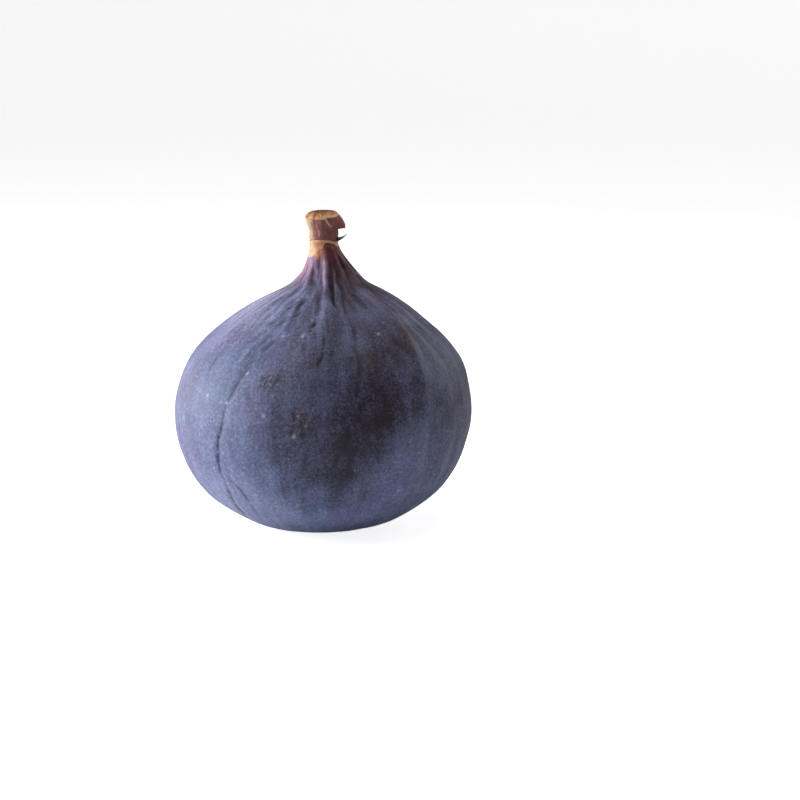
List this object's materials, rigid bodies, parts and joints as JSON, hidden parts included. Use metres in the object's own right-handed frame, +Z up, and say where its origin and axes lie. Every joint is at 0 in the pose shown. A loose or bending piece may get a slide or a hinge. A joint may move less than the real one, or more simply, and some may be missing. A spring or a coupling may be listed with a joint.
{
  "type": "fresh fig",
  "caption": "Whole ripe black fig: squat onion-shaped fruit with soft ribs, a fluted neck, a sunken eye underneath and the stub of its stalk on top.",
  "frame": {"origin": "middle of the box round the fig at the height of the flat spot that it stands on", "axes": "+Z up from the eye end to the stalk; the side seen in the picture faces -Y"},
  "size_m": [0.0564, 0.0563, 0.0597],
  "materials": {
    "bloomy_skin": "matte",
    "dried_bark": "matte"
  },
  "bodies": {
    "root": {"fruit": "bloomy_skin", "stalk_stub": "dried_bark"}
  },
  "joints": []
}
